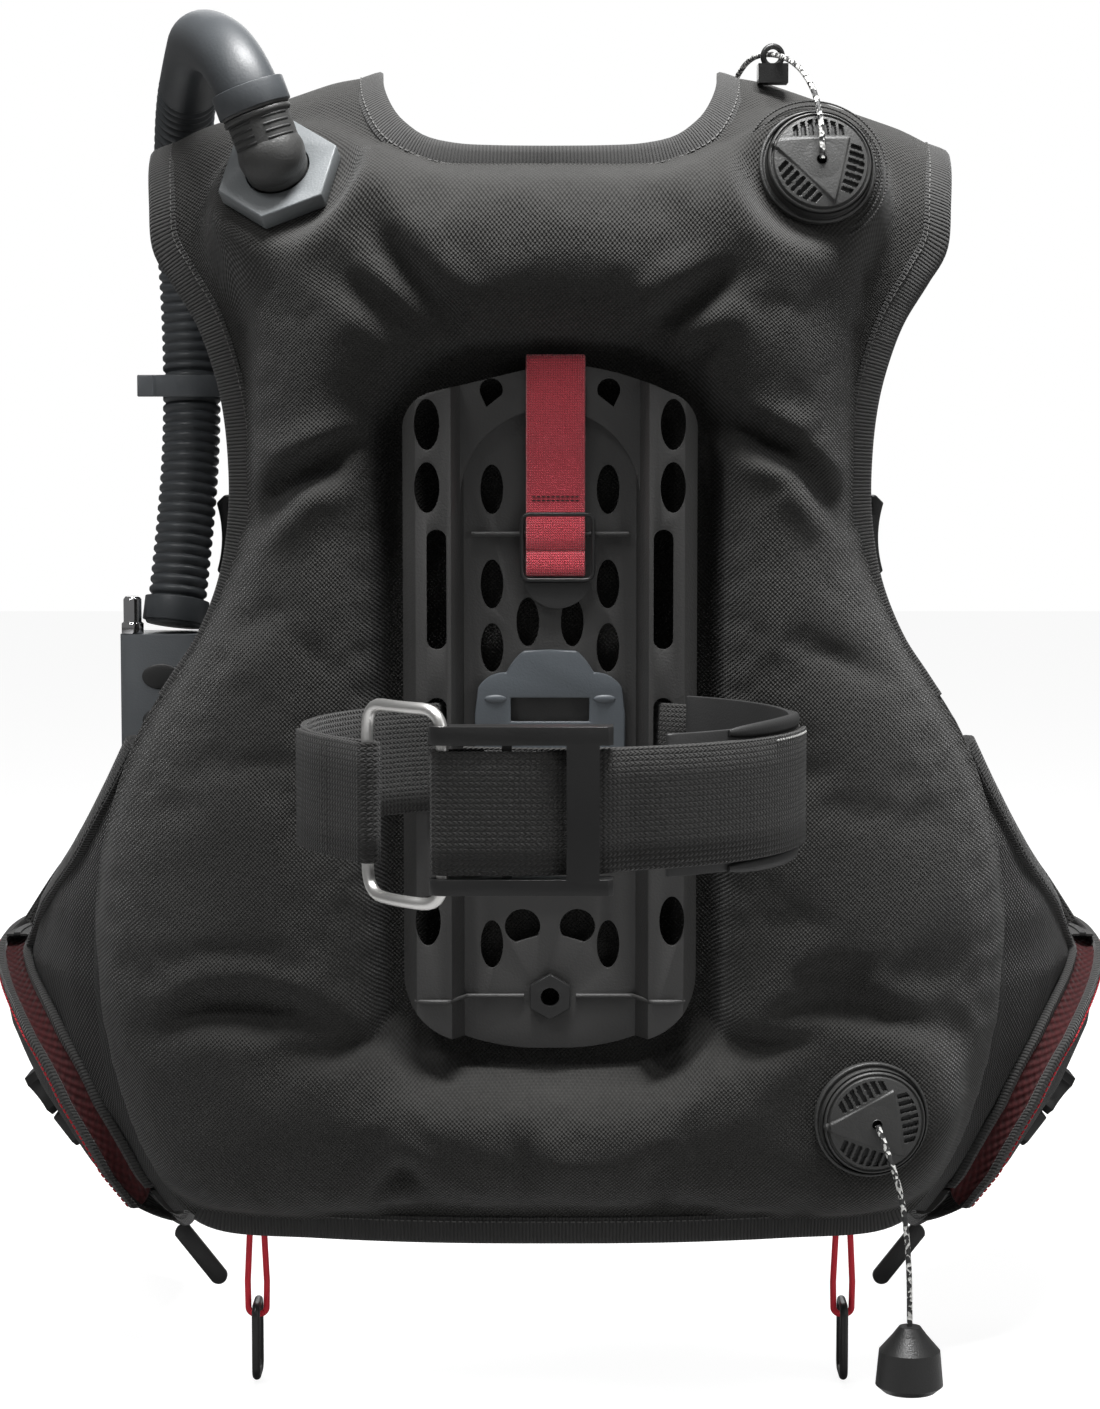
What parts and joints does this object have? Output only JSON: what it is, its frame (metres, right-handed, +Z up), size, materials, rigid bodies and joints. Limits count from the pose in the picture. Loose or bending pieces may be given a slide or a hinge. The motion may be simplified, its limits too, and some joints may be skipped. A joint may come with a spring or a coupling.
{
  "type": "buoyancy compensator vest",
  "caption": "Scuba buoyancy vest with a ring-shaped back bladder, plate and tank band, dump valves, inflator hose, wings and pockets.",
  "frame": {"origin": "on the tank's axis, at the height of the tank band", "axes": "+Z up along the tank, -Y towards the tank, +Y towards the wearer, -X on the wearer's left (inflator side)"},
  "size_m": [0.5842, 0.517, 0.6545],
  "materials": {
    "bladder_fabric": "black woven nylon",
    "pad_fabric": "black padded mesh",
    "webbing": "coarse black webbing",
    "red_webbing": "red webbing",
    "pad_rubber": "matt black rubber",
    "plate_plastic": "textured dark grey plastic",
    "guide_plastic": "blue grey plastic",
    "buckle_plastic": "black acetal",
    "valve_plastic": "dark grey plastic",
    "valve_disc": "grey silicone",
    "hose_rubber": "dark grey corrugated rubber",
    "button_plastic": "grey button",
    "stainless": "polished stainless steel",
    "chrome": "plated brass",
    "dump_cord": "black cord with light flecks"
  },
  "bodies": {
    "shell": {"bladder_shell": "bladder_fabric", "back_pad": "pad_fabric", "shoulder_panel_left": "bladder_fabric", "shoulder_panel_right": "bladder_fabric", "shoulder_webbing_left": "webbing", "shoulder_webbing_right": "webbing", "shoulder_buckle_socket_left": "buckle_plastic", "shoulder_buckle_socket_right": "buckle_plastic", "tank_band": "webbing", "band_pad": "pad_rubber", "valve_strap": "red_webbing", "back_plate": "plate_plastic", "band_guide": "guide_plastic", "plate_insert": "stainless", "strap_slider": "stainless", "strap_patch": "pad_rubber", "elbow_base": "guide_plastic", "elbow_body": "valve_plastic", "hose": "hose_rubber", "hose_collars": "buckle_plastic", "inflator_body": "guide_plastic", "mouthpiece": "pad_rubber", "lp_nipple": "chrome", "hose_clip": "buckle_plastic", "shoulder_dump_base": "valve_plastic", "shoulder_dump_cap": "valve_plastic", "rear_dump_base": "valve_plastic", "rear_dump_cap": "valve_plastic", "shoulder_dump_cord": "dump_cord", "rear_dump_cord": "dump_cord", "cord_guide": "buckle_plastic", "hem_loops": "red_webbing"},
    "link_ring": {"link_ring": "stainless"},
    "cam_lever": {"cam_lever": "buckle_plastic", "band_tail": "webbing"},
    "shoulder_dump_disc": {"shoulder_dump_disc": "valve_disc"},
    "rear_dump_disc": {"rear_dump_disc": "valve_disc"},
    "elbow_disc": {"elbow_disc": "valve_disc"},
    "inflate_button": {"inflate_button": "button_plastic"},
    "deflate_button": {"deflate_button": "button_plastic"},
    "shoulder_dump_knob": {"shoulder_dump_knob": "pad_rubber"},
    "rear_dump_knob": {"rear_dump_knob": "pad_rubber"},
    "hem_ring_left": {"hem_ring_left": "buckle_plastic"},
    "hem_ring_right": {"hem_ring_right": "buckle_plastic"},
    "shoulder_plug_left": {"shoulder_buckle_plug_left": "buckle_plastic"},
    "shoulder_plug_right": {"shoulder_buckle_plug_right": "buckle_plastic"},
    "wing_left": {"wing_panel_left": "bladder_fabric", "pocket_left": "bladder_fabric", "pull_tab_left": "pad_rubber", "pocket_buckle_socket_left": "buckle_plastic"},
    "wing_right": {"wing_panel_right": "bladder_fabric", "pocket_right": "bladder_fabric", "pull_tab_right": "pad_rubber", "pocket_buckle_socket_right": "buckle_plastic"},
    "pocket_plug_left": {"pocket_buckle_plug_left": "buckle_plastic"},
    "pocket_plug_right": {"pocket_buckle_plug_right": "buckle_plastic"},
    "zip_left": {"zip_slider_left": "stainless"},
    "zip_right": {"zip_slider_right": "stainless"}
  },
  "joints": [
    {"name": "link_swing", "type": "hinge", "parent": "shell", "child": "link_ring", "pos_m": [-0.074, -0.079, 0.007], "axis": [0, 0, -1], "range_deg": [0, 8]},
    {"name": "lever_open", "type": "hinge", "parent": "link_ring", "child": "cam_lever", "pos_m": [-0.0425, -0.114, 0.007], "axis": [0, 0, -1], "range_deg": [0, 100]},
    {"name": "shoulder_knob_pull", "type": "slide", "parent": "shell", "child": "shoulder_dump_knob", "axis": [0, 0, -1], "range_m": [0, 0.0035]},
    {"name": "rear_knob_pull", "type": "slide", "parent": "shell", "child": "rear_dump_knob", "axis": [0, 0, -1], "range_m": [0, 0.0035]},
    {"name": "shoulder_disc_lift", "type": "slide", "parent": "shell", "child": "shoulder_dump_disc", "axis": [0.1203, -0.9522, 0.2807], "range_m": [0, 0.0035], "stiffness_N_per_m": 300, "springref_m": -0.001},
    {"name": "rear_disc_lift", "type": "slide", "parent": "shell", "child": "rear_dump_disc", "axis": [0.1505, -0.9882, -0.0301], "range_m": [0, 0.0035], "stiffness_N_per_m": 300, "springref_m": -0.001},
    {"name": "elbow_disc_lift", "type": "slide", "parent": "shell", "child": "elbow_disc", "axis": [-0.2007, -0.7727, 0.6021], "range_m": [0, 0.004], "stiffness_N_per_m": 300, "springref_m": -0.001},
    {"name": "inflate_press", "type": "slide", "parent": "shell", "child": "inflate_button", "axis": [0, -1, 0], "range_m": [0, 0.0035], "stiffness_N_per_m": 600, "springref_m": -0.001},
    {"name": "deflate_press", "type": "slide", "parent": "shell", "child": "deflate_button", "axis": [0, 0, 1], "range_m": [0, 0.004], "stiffness_N_per_m": 600, "springref_m": -0.001},
    {"name": "hem_ring_left_swing", "type": "hinge", "parent": "shell", "child": "hem_ring_left", "pos_m": [-0.1405, 0.152, -0.2699], "axis": [1, 0, 0], "range_deg": [-55, 55]},
    {"name": "hem_ring_right_swing", "type": "hinge", "parent": "shell", "child": "hem_ring_right", "pos_m": [0.1405, 0.152, -0.2699], "axis": [1, 0, 0], "range_deg": [-55, 55]},
    {"name": "shoulder_plug_left_release", "type": "slide", "parent": "shell", "child": "shoulder_plug_left", "axis": [0, 0, -1], "range_m": [0, 0.024]},
    {"name": "shoulder_plug_right_release", "type": "slide", "parent": "shell", "child": "shoulder_plug_right", "axis": [0, 0, -1], "range_m": [0, 0.024]},
    {"name": "wing_left_swing", "type": "hinge", "parent": "shell", "child": "wing_left", "pos_m": [-0.221, 0.195, -0.11], "axis": [0, 0, 1], "range_deg": [0, 25]},
    {"name": "wing_right_swing", "type": "hinge", "parent": "shell", "child": "wing_right", "pos_m": [0.221, 0.195, -0.11], "axis": [0, 0, -1], "range_deg": [0, 25]},
    {"name": "pocket_plug_left_release", "type": "slide", "parent": "wing_left", "child": "pocket_plug_left", "axis": [0.6018, 0, -0.7986], "range_m": [0, 0.014]},
    {"name": "pocket_plug_right_release", "type": "slide", "parent": "wing_right", "child": "pocket_plug_right", "axis": [-0.6018, 0, -0.7986], "range_m": [0, 0.014]},
    {"name": "zip_left_slide", "type": "slide", "parent": "wing_left", "child": "zip_left", "axis": [0, 1, 0], "range_m": [0, 0.076]},
    {"name": "zip_right_slide", "type": "slide", "parent": "wing_right", "child": "zip_right", "axis": [0, 1, 0], "range_m": [0, 0.076]}
  ],
  "couplings": [
    {"joint": "shoulder_disc_lift", "follows": "shoulder_knob_pull", "ratio": 1},
    {"joint": "rear_disc_lift", "follows": "rear_knob_pull", "ratio": 1}
  ]
}
